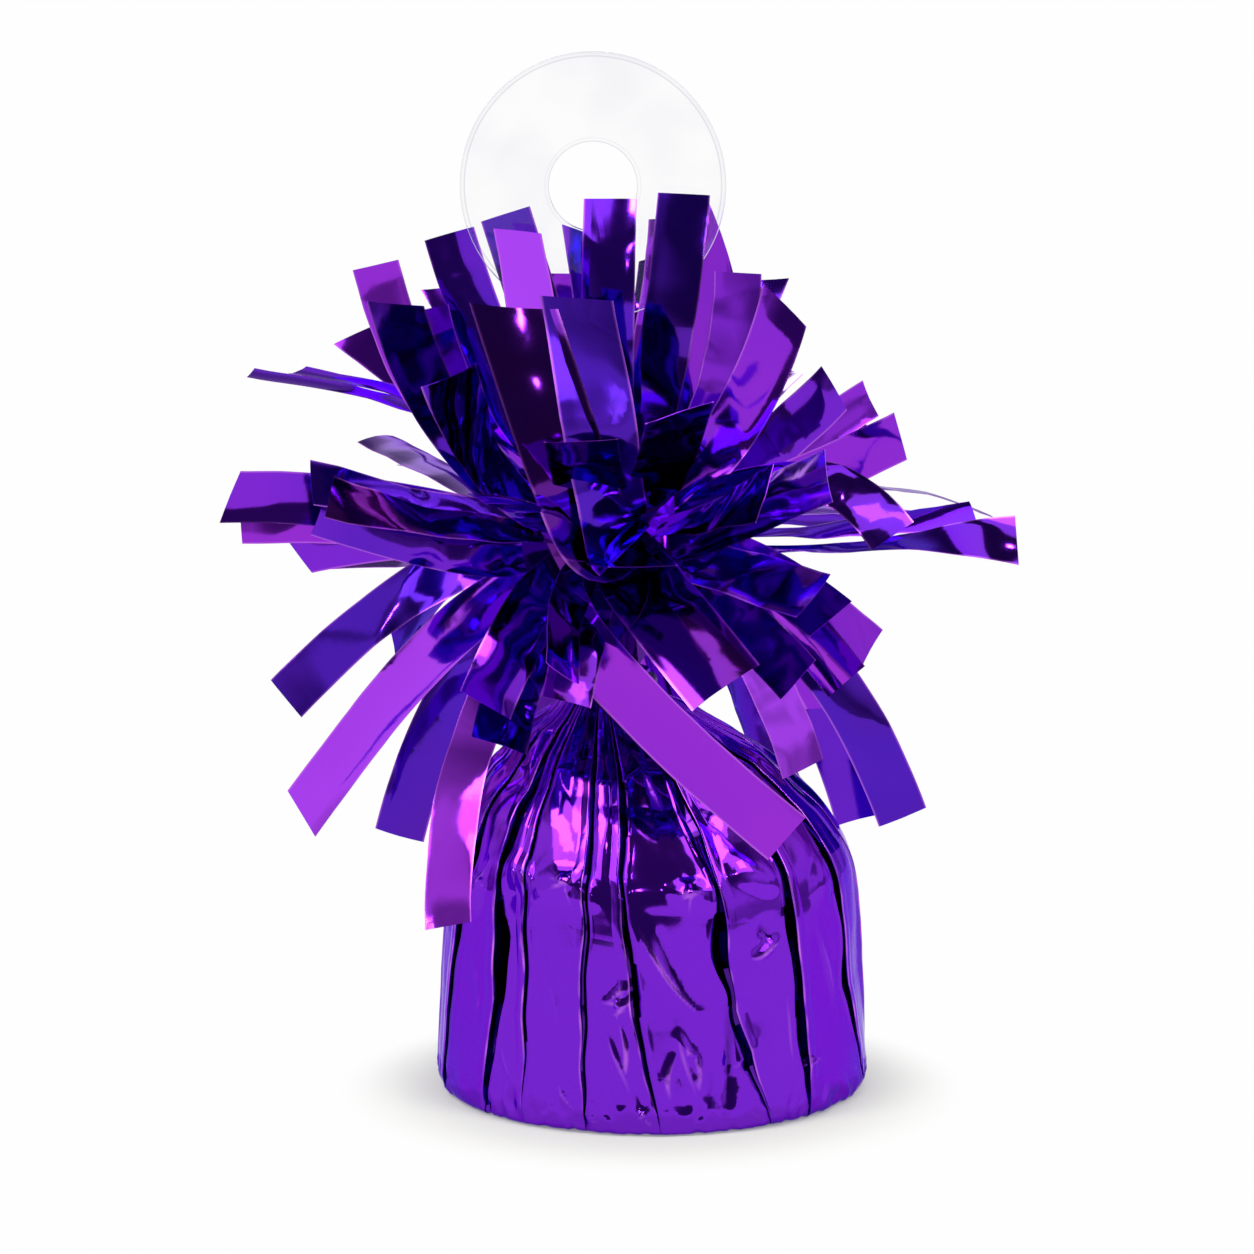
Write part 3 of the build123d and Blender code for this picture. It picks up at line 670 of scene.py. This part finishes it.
# Tones for the strips, from dark plum to silver, used as painted light and shade
strip_painted_tones = ("#60166E", "#4C17B8", "#7A22D2", "#982AD2", "#B046FC", "#DDD2F0")
strip_finish = film_finish("metallised polyester film, slit", strip_painted_tones, crinkle=0.02, crease=0.02)

# What each strip tells the tree about itself, and what each point of the blank tells it
strip_facts = dict.fromkeys(("root", "bend", "tip"), "FLOAT_VECTOR")
strip_facts |= dict.fromkeys((
    "root_tilt", "tip_tilt", "twist_power", "turn", "breadth", "slant", "curl", "gutter", "kink",
    "kink_place", "kink_skew", "own_seed",
), "FLOAT")
blank_facts = ("across_share", "along_share")

# The tree lays a flat strip blank along each row's bow: root, bend and tip, face turned by its tilt, gathered
# at the root, kinked, curled and lightly crinkled. Its columns crowd towards the cut edges, which get a
# painted highlight.
tree = bpy.data.node_groups.new("fringe strips along their bows", "GeometryNodeTree")
sockets = {}
for name in (
    "Strip roots", "Strip width", "Gathered share", "Root fold", "Crinkle height", "Crinkle length", "Film",
):
    kind = {"Strip roots": "NodeSocketGeometry", "Film": "NodeSocketMaterial"}.get(name, "NodeSocketFloat")
    sockets[name] = tree.interface.new_socket(name=name, in_out="INPUT", socket_type=kind).identifier
tree.interface.new_socket(name="Strips", in_out="OUTPUT", socket_type="NodeSocketGeometry")
given = add(tree, "NodeGroupInput").outputs
blank = add(tree, "GeometryNodeMeshGrid", {"Size X": 2.0, "Size Y": 1.0, "Vertices X": 11, "Vertices Y": 36})
blank_place = add(tree, "ShaderNodeSeparateXYZ", {0: add(tree, "GeometryNodeInputPosition")}).outputs
from_root = add(tree, "ShaderNodeMath", {0: blank_place["Y"], 1: 0.5}, operation="ADD")
off_axis = add(tree, "ShaderNodeMath", {0: blank_place["X"]}, operation="ABSOLUTE")
spread = add(tree, "ShaderNodeMath", {0: off_axis, 1: 0.45}, operation="POWER")
which_side = add(tree, "ShaderNodeMath", {0: blank_place["X"]}, operation="SIGN")
across = add(tree, "ShaderNodeMath", {0: spread, 1: which_side}, operation="MULTIPLY")
# A painted highlight along each cut edge
edge_glint = add(tree, "ShaderNodeMapRange", {"Value": spread, "From Min": 0.91, "To Max": 0.6})
for name, value in (("across_share", across), ("painted_light_mark", edge_glint), ("along_share", from_root)):
    blank = add(tree, "GeometryNodeStoreNamedAttribute", {"Geometry": blank, "Name": name, "Value": value},
                data_type="FLOAT", domain="POINT")
laid = add(tree, "GeometryNodeInstanceOnPoints", {"Points": given["Strip roots"], "Instance": blank})
loose = add(tree, "GeometryNodeRealizeInstances", {"Geometry": laid})
read = {}
for name in (*strip_facts, *blank_facts):
    kind = strip_facts.get(name, "FLOAT")
    read[name] = add(tree, "GeometryNodeInputNamedAttribute", {"Name": name}, data_type=kind)

# The spine runs on the bow, with the cut end slanted
cubed = add(tree, "ShaderNodeMath", {0: read["along_share"], 1: 3.0}, operation="POWER")
skew = add(tree, "ShaderNodeMath", {0: read["slant"], 1: read["across_share"]}, operation="MULTIPLY")
run = add(tree, "ShaderNodeMath", {0: skew, 1: cubed, 2: read["along_share"]}, operation="MULTIPLY_ADD")
legs = []
for start, end in (("root", "bend"), ("bend", "tip")):
    leg = add(tree, "ShaderNodeMix", {0: run, 4: read[start], 5: read[end]},
              data_type="VECTOR", clamp_factor=False)
    legs.append(leg.outputs[1])
spine = add(tree, "ShaderNodeMix", {0: run, 4: legs[0], 5: legs[1]}, data_type="VECTOR", clamp_factor=False)
onward = add(tree, "ShaderNodeVectorMath", {0: legs[1], 1: legs[0]}, operation="SUBTRACT")

# The face tilts from root to tip and turns about the spine
twisted = add(tree, "ShaderNodeMath", {0: read["along_share"], 1: read["twist_power"]}, operation="POWER")
tilt = add(tree, "ShaderNodeMix", {0: twisted, 2: read["root_tilt"], 3: read["tip_tilt"]}, data_type="FLOAT")
tilt_sine = add(tree, "ShaderNodeMath", {0: tilt}, operation="SINE")
tilt_cosine = add(tree, "ShaderNodeMath", {0: tilt}, operation="COSINE")
forward = add(tree, "ShaderNodeMath", {0: tilt_sine, 1: -1.0}, operation="MULTIPLY")
upright = add(tree, "ShaderNodeCombineXYZ", {"Y": forward, "Z": tilt_cosine})
sideways = add(tree, "ShaderNodeVectorMath", {0: upright, 1: onward}, operation="CROSS_PRODUCT")
sideways = add(tree, "ShaderNodeVectorMath", {0: sideways}, operation="NORMALIZE")
sideways = add(tree, "ShaderNodeVectorRotate", {"Vector": sideways, "Axis": onward, "Angle": read["turn"]},
               rotation_type="AXIS_ANGLE")
facing = add(tree, "ShaderNodeVectorMath", {0: onward, 1: sideways}, operation="CROSS_PRODUCT")
facing = add(tree, "ShaderNodeVectorMath", {0: facing}, operation="NORMALIZE")

# Each point lies off the spine by its share of the width, which opens from the gathered root
opened = add(tree, "ShaderNodeMapRange", {
    "Value": read["along_share"], "From Max": 0.36, "To Min": given["Gathered share"], "To Max": 1.0,
}, interpolation_type="SMOOTHSTEP")
off_spine = given["Strip width"]
for share in (0.5, read["breadth"], opened, read["across_share"]):
    off_spine = add(tree, "ShaderNodeMath", {0: off_spine, 1: share}, operation="MULTIPLY")
aside = add(tree, "ShaderNodeVectorMath", {0: sideways, "Scale": off_spine}, operation="SCALE")

# It stands off the face by the fold at the root, the curl, the gutter, the kink and the crinkles
off_middle = add(tree, "ShaderNodeMath", {0: read["across_share"]}, operation="ABSOLUTE")
folded = add(tree, "ShaderNodeMapRange", {
    "Value": read["along_share"], "From Max": 0.55, "To Min": given["Root fold"], "To Max": 0.0,
}, interpolation_type="SMOOTHSTEP")
squared = add(tree, "ShaderNodeMath", {0: off_middle, 1: 2.0}, operation="POWER")
slanted = add(tree, "ShaderNodeMath", {0: read["across_share"], 1: read["kink_skew"], 2: read["along_share"]},
              operation="MULTIPLY_ADD")
past_kink = add(tree, "ShaderNodeMath", {0: slanted, 1: read["kink_place"]}, operation="SUBTRACT")
past_kink = add(tree, "ShaderNodeMath", {0: past_kink, 1: 0.0}, operation="MAXIMUM")
strip_run = add(tree, "ShaderNodeMath", {0: read["along_share"], 1: 0.05}, operation="MULTIPLY")
strip_place = add(tree, "ShaderNodeCombineXYZ", {"X": off_spine, "Y": strip_run})
per_length = add(tree, "ShaderNodeMath", {0: 1.0, 1: given["Crinkle length"]}, operation="DIVIDE")
ripple = add(tree, "ShaderNodeTexVoronoi", {
    "Vector": strip_place, "W": read["own_seed"], "Scale": per_length,
}, voronoi_dimensions="4D", distance="MANHATTAN")
ripple = add(tree, "ShaderNodeMath", {0: ripple, 1: 0.5}, operation="SUBTRACT")
lift = add(tree, "ShaderNodeMath", {0: off_middle, 1: folded}, operation="MULTIPLY")
for share, height in (
    (cubed, read["curl"]), (squared, read["gutter"]),
    (past_kink, read["kink"]), (ripple, given["Crinkle height"]),
):
    lift = add(tree, "ShaderNodeMath", {0: share, 1: height, 2: lift}, operation="MULTIPLY_ADD")
raised = add(tree, "ShaderNodeVectorMath", {0: facing, "Scale": lift}, operation="SCALE")
beside_spine = add(tree, "ShaderNodeVectorMath", {0: spine.outputs[1], 1: aside}, operation="ADD")
final_place = add(tree, "ShaderNodeVectorMath", {0: beside_spine, 1: raised}, operation="ADD")
shaped = add(tree, "GeometryNodeSetPosition", {"Geometry": loose, "Position": final_place})
smooth = add(tree, "GeometryNodeSetShadeSmooth", {"Geometry": shaped})
filmed = add(tree, "GeometryNodeSetMaterial", {"Geometry": smooth, "Material": given["Film"]})
add(tree, "NodeGroupOutput", {"Strips": filmed})

strip_inputs = {
    "Strip width": strip_width, "Gathered share": 0.85, "Root fold": 0.0011, "Crinkle height": 0.0008,
    "Crinkle length": 0.016, "Film": strip_finish,
}
curl_height, gutter_height = 0.0008, 0.0004
strip_number = 0
for node, rows in fringe.items():
    facts = {name: [] for name in (*strip_facts, "lacquer_and_painted_light")}
    for row in rows:
        tip_x, tip_y, tip_z, bearing, rise, bow = row[:6]
        root_tilt, tip_tilt, breadth, slant, turn, shade, kink = row[6:]
        bearing, rise = math.radians(bearing), math.radians(rise)
        level = math.cos(rise)
        outward = Vector((level * math.cos(bearing), level * math.sin(bearing), math.sin(rise)))
        root = rosette_middle + outward * seat_radii
        tip = rosette_middle + Vector((tip_x, tip_y, tip_z)) * strip_reach
        length = (tip - root).length
        strip_number += 1
        for name, value in (
            ("root", root),
            ("bend", root + outward * (bow * length)),
            ("tip", tip),
            ("root_tilt", math.radians(root_tilt)),
            ("tip_tilt", math.radians(tip_tilt)),
            ("twist_power", 1 + abs(tip_tilt - root_tilt) / 30),
            ("turn", math.radians(turn)),
            ("breadth", breadth),
            ("slant", slant),
            ("curl", curl_height * math.sin(strip_number * 2.4)),
            ("gutter", gutter_height * math.sin(strip_number * 1.9)),
            ("kink", math.tan(math.radians(kink)) * length),
            ("kink_place", 0.55 + 0.2 * math.sin(strip_number * 1.3)),
            ("kink_skew", 0.16 * math.sin(strip_number * 4.1)),
            ("own_seed", strip_number * 3.7),
            ("lacquer_and_painted_light", shade),
        ):
            facts[name].append(value)
    seat_mesh = bpy.data.meshes.new(node + "_roots")
    seat_mesh.from_pydata(facts["root"], [], [])
    for name, values in facts.items():
        layer = seat_mesh.attributes.new(name, strip_facts.get(name, "FLOAT"), "POINT")
        if layer.data_type == "FLOAT_VECTOR":
            layer.data.foreach_set("vector", [part for value in values for part in value])
        else:
            layer.data.foreach_set("value", values)
    seats = new_piece(node + "_roots", seat_mesh)
    laying = seats.modifiers.new("strips", "NODES")
    laying.node_group = tree
    for name, value in strip_inputs.items():
        laying[sockets[name]] = value
    wall = seats.modifiers.new("film thickness", "SOLIDIFY")
    wall.thickness = strip_film
    wall.offset = 0
    ready = seats.evaluated_get(bpy.context.evaluated_depsgraph_get())
    strip_mesh = bpy.data.meshes.new_from_object(ready)
    strip_mesh.name = "film_" + node
    for name in (*strip_facts, *blank_facts):
        strip_mesh.attributes.remove(strip_mesh.attributes[name])
    bpy.data.objects.remove(seats)
    strips = new_piece("film_" + node, strip_mesh)
    strip_mesh.set_sharp_from_angle(angle=math.radians(50))
    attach(strips, "weight")
    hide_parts(node)


# Clear ring: one piece of clear polyester sheet, die-cut to a disc with a hole and a stem. The stem is
# gripped in the neck, and the ribbons are tied through the hole.
ring_lean = math.radians(1.9)
ring_foot = Vector((-0.006, 0.0, 0.057))
ring_x = Vector((math.cos(ring_lean), 0.0, math.sin(ring_lean)))
ring_y = Vector((-math.sin(ring_lean), 0.0, math.cos(ring_lean)))
ring_radius, hole_radius, ring_rise = 0.0187, 0.0062, 0.072
stem_foot, hinge_rise, sheet_thickness = -0.005, 0.036, 0.0006
rim_round, buckle_height, half_flex = 0.00027, 0.0005, 0.003
ring_steps, stem_rows, stem_steps = 144, 30, 9

# Clear polyester sheet: almost invisible, with a slight haze, faint ripples about 12 mm across and painted
# grey shade along its cut rim, which is a little frosted at its outermost edge
ripple_size = 0.012
clear_sheet, tree, shader, place = new_finish("clear polyester sheet, die-cut")
ripples = add(tree, "ShaderNodeTexNoise", {"Vector": place, "Scale": 1 / ripple_size, "Detail": 2.0})
scuffs = add(tree, "ShaderNodeTexNoise", {"Vector": place, "Scale": 8 / ripple_size, "Detail": 4.0})
haze = add(tree, "ShaderNodeMapRange", {"Value": scuffs, "To Min": 0.0, "To Max": 0.03})
relief = add(tree, "ShaderNodeBump", {"Height": ripples, "Distance": 0.0006, "Strength": 0.25})
tint = add(tree, "ShaderNodeValToRGB", {"Fac": ripples})
for stop, position, code in zip(tint.color_ramp.elements, (0.35, 0.6), ("#F8F8FB", "#FFFFFF")):
    stop.position = position
    stop.color = linear(code)
edge_shade_share = add(tree, "ShaderNodeAttribute", attribute_name="edge_painted_shade").outputs["Fac"]
colour = add(tree, "ShaderNodeMix", {0: edge_shade_share, 6: tint, 7: linear("#D4D2DE")}, data_type="RGBA")
frosted = add(tree, "ShaderNodeMapRange", {
    "Value": edge_shade_share, "From Min": 0.75, "From Max": 1.0, "To Min": 1.0, "To Max": 0.6,
})
feed(tree, shader, {
    "Base Color": colour.outputs[2], "Roughness": haze, "Normal": relief, "Transmission Weight": frosted,
    "IOR": 1.35,
})

# Painted grey shade at each cut edge and in fine lines beside it: how far off the edge each circle lies, in
# mm, and how strongly it is painted
off_hole = ((0, 1.0), (0.15, 0.1), (0.4, 0.0), (0.55, 0.25), (0.7, 0.0))
off_rim = ((0.8, 0.0), (0.62, 0.7), (0.45, 0.0), (0.1, 0.3), (0, 1.0))
ring_lines = [(hole_radius + off * 0.001, mark) for off, mark in off_hole]
ring_lines += [(hole_radius + (ring_radius - hole_radius) * step / 11, 0.0) for step in range(1, 11)]
ring_lines += [(ring_radius - off * 0.001, mark) for off, mark in off_rim]
ring_circles = len(ring_lines) - 1
corners, faces, edge_painted_shades = [], [], []
for radius, mark in ring_lines:
    for step in range(ring_steps):
        angle = 2 * math.pi * step / ring_steps
        corners.append((radius * math.cos(angle), ring_rise + radius * math.sin(angle)))
        edge_painted_shades.append(mark)
for circle in range(ring_circles):
    for step in range(ring_steps):
        beside = (step + 1) % ring_steps
        low, high = circle * ring_steps, (circle + 1) * ring_steps
        faces.append((low + step, high + step, high + beside, low + beside))
middle_step = ring_steps * 3 // 4
above = [ring_circles * ring_steps + middle_step - stem_steps // 2 + step for step in range(stem_steps)]
for row in range(1, stem_rows + 1):
    below = []
    for upper in above:
        x, y = corners[upper]
        below.append(len(corners))
        share = 1 / (stem_rows + 1 - row)
        corners.append((x, y + (stem_foot - y) * share))
        # The stem's cut sides get half the painted edge shade
        edge_painted_shades.append(0.5 if upper in (above[0], above[-1]) else 0.0)
    for step in range(stem_steps - 1):
        faces.append((above[step], below[step], below[step + 1], above[step + 1]))
    above = below
bowed = []
for x, y in corners:
    buckle = buckle_height * noise.noise(Vector((x * 90, y * 90, 2.0)))
    bowed.append(ring_foot + ring_x * x + ring_y * y + Vector((0.0, buckle, 0.0)))
ring_mesh = bpy.data.meshes.new("clear_ring_sheet")
ring_mesh.from_pydata(bowed, [], faces)
ring_mesh.attributes.new("edge_painted_shade", "FLOAT", "POINT").data.foreach_set("value", edge_painted_shades)
ring = new_piece("clear_ring_sheet", ring_mesh, clear_sheet)
wall = ring.modifiers.new("sheet thickness", "SOLIDIFY")
wall.thickness = sheet_thickness
wall.offset = 0
edge = ring.modifiers.new("cut rim", "BEVEL")
edge.width = rim_round
edge.segments = 4
edge.limit_method = "ANGLE"
edge.angle_limit = math.radians(60)
finished = bpy.data.meshes.new_from_object(ring.evaluated_get(bpy.context.evaluated_depsgraph_get()))
ring.modifiers.clear()
ring.data = finished
finished.shade_smooth()
finished.set_sharp_from_angle(angle=math.radians(40))
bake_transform(ring)
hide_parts("ring_stem", "ribbon_ring")


# Studio: a pale round floor, a room with pale and dim walls, soft boxes above and at the sides with small
# lamps between them, and a camera at the photograph's place. None of it belongs to the object.
floor_radius, floor_steps, floor_height = 0.6, 64, -0.0002
rim_angles = [math.tau * step / floor_steps for step in range(floor_steps)]
floor_mesh = bpy.data.meshes.new("studio_floor")
floor_mesh.from_pydata([(0, 0, floor_height)] + [
    (floor_radius * math.cos(angle), floor_radius * math.sin(angle), floor_height) for angle in rim_angles
], [], [(0, 1 + step, 1 + (step + 1) % floor_steps) for step in range(floor_steps)])
floor = bpy.data.objects.new("studio_floor", floor_mesh)
bpy.context.scene.collection.objects.link(floor)

# Pale matt paper: it takes the object's shadow close by and shows as the bare background further out
shadow_middle = (0.0, -0.003, 0.0)
background_shade = "#FEFEFE"
pale_floor = bpy.data.materials.new("pale studio floor")
pale_floor.use_nodes = True
tree = pale_floor.node_tree
tree.nodes.clear()
place = add(tree, "ShaderNodeTexCoord").outputs["Object"]
off_middle = add(tree, "ShaderNodeVectorMath", {0: place, 1: shadow_middle}, operation="DISTANCE")
away = add(tree, "ShaderNodeMapRange", {
    "Value": off_middle.outputs["Value"], "From Min": 0.029, "From Max": 0.046,
}, interpolation_type="SMOOTHSTEP")
near = add(tree, "ShaderNodeMapRange", {"Value": away, "To Min": 0.22, "To Max": 1.0})
matt = add(tree, "ShaderNodeBsdfDiffuse", {"Color": linear("#E1E3D4")})
glow = add(tree, "ShaderNodeEmission", {"Color": linear(background_shade), "Strength": 1.0})
path = add(tree, "ShaderNodeLightPath").outputs
seen = add(tree, "ShaderNodeMath", {0: path["Is Camera Ray"], 1: path["Is Glossy Ray"]}, operation="MAXIMUM")
seen = add(tree, "ShaderNodeMath", {0: seen, 1: path["Is Transmission Ray"]}, operation="MAXIMUM")
share = add(tree, "ShaderNodeMath", {0: seen, 1: near}, operation="MULTIPLY")
surface = add(tree, "ShaderNodeMixShader", {0: share, 1: matt, 2: glow})
add(tree, "ShaderNodeOutputMaterial", {"Surface": surface})
floor_mesh.materials.append(pale_floor)

# The room: pale and dim panels all round, darker in front and overhead, where the film mirrors it most. The
# camera and the clear sheet see the bare background instead.
front_way = (0.0, -0.95, 0.31)
room = bpy.data.worlds.new("studio room")
bpy.context.scene.world = room
room.use_nodes = True
tree = room.node_tree
tree.nodes.clear()
way = add(tree, "ShaderNodeTexCoord").outputs["Generated"]
ahead = add(tree, "ShaderNodeVectorMath", {0: way, 1: front_way}, operation="DOT_PRODUCT").outputs["Value"]
height = add(tree, "ShaderNodeSeparateXYZ", {0: way}).outputs["Z"]
patches = add(tree, "ShaderNodeTexNoise", {"Vector": way, "Scale": 2.4, "Detail": 1.0})
in_front, overhead, lit = [
    add(tree, "ShaderNodeMapRange", {"Value": value, "From Min": low, "From Max": high},
        interpolation_type="SMOOTHSTEP")
    for value, low, high in ((ahead, 0.55, 0.86), (height, 0.45, 0.8), (patches, 0.4, 0.56))
]
dim = add(tree, "ShaderNodeMath", {0: in_front, 1: overhead}, operation="MAXIMUM")
path = add(tree, "ShaderNodeLightPath").outputs
clear = add(tree, "ShaderNodeMath", {0: path["Is Camera Ray"], 1: path["Is Transmission Ray"]},
            operation="MAXIMUM")
walls = add(tree, "ShaderNodeMix", {0: lit, 6: linear("#958E9D"), 7: linear("#EDEDF0")}, data_type="RGBA")
walls = add(tree, "ShaderNodeMix", {0: dim, 6: walls.outputs[2], 7: linear("#4E4261")}, data_type="RGBA")
fill = add(tree, "ShaderNodeMix", {0: path["Is Glossy Ray"], 6: linear("#B3B3B3"), 7: walls.outputs[2]},
           data_type="RGBA")
shown = add(tree, "ShaderNodeMix", {0: clear, 6: fill.outputs[2], 7: linear(background_shade)},
            data_type="RGBA")
air = add(tree, "ShaderNodeBackground", {"Color": shown.outputs[2]})
add(tree, "ShaderNodeOutputWorld", {"Surface": air})

# Each lamp: its place and size in metres, and how bright its face is
lamp_aim = Vector((0.0, 0.0, 0.06))
for name, spot, size, radiance in (
    ("soft box left", (-0.46, -0.48, 0.74), (0.5, 0.75), 2.2),
    ("soft box right", (0.48, -0.46, 0.72), (0.45, 0.75), 2.2),
    ("soft box above", (0.0, 0.25, 0.9), (0.7, 0.4), 2.2),
    ("small lamp", (-0.18, -0.75, 0.62), (0.04, 0.04), 60.0),
    ("small lamp right", (0.35, -0.60, 0.35), (0.03, 0.03), 50.0),
    ("small lamp above", (0.06, -0.30, 0.95), (0.05, 0.05), 60.0),
    ("small lamp left", (-0.60, -0.40, 0.30), (0.03, 0.03), 50.0),
    ("small lamp low", (-0.05, -0.80, 0.30), (0.03, 0.03), 40.0),
    ("bright middle left", (-0.48, -0.39, 0.67), (0.32, 0.32), 5.0),
    ("bright middle right", (0.45, -0.43, 0.67), (0.18, 0.3), 5.0),
):
    lamp = bpy.data.lights.new(name, "AREA")
    lamp.shape = "RECTANGLE"
    lamp.size, lamp.size_y = size
    lamp.energy = radiance * math.pi * size[0] * size[1]
    box = bpy.data.objects.new(name, lamp)
    box.location = spot
    box.rotation_euler = (lamp_aim - Vector(spot)).to_track_quat("-Z", "Y").to_euler()
    bpy.context.scene.collection.objects.link(box)

camera_spot, camera_aim = Vector((-0.0036, -0.570, 0.153)), Vector((-0.0036, 0.0, 0.0663))
lens = bpy.data.cameras.new("studio camera")
lens.lens = 115.95
lens.sensor_width = 36.0
lens.clip_start = 0.01
camera = bpy.data.objects.new("studio camera", lens)
camera.location = camera_spot
camera.rotation_euler = (camera_aim - camera_spot).to_track_quat("-Z", "Y").to_euler()
bpy.context.scene.collection.objects.link(camera)
bpy.context.scene.camera = camera
bpy.context.scene.view_settings.view_transform = "Standard"

bpy.context.view_layer.update()
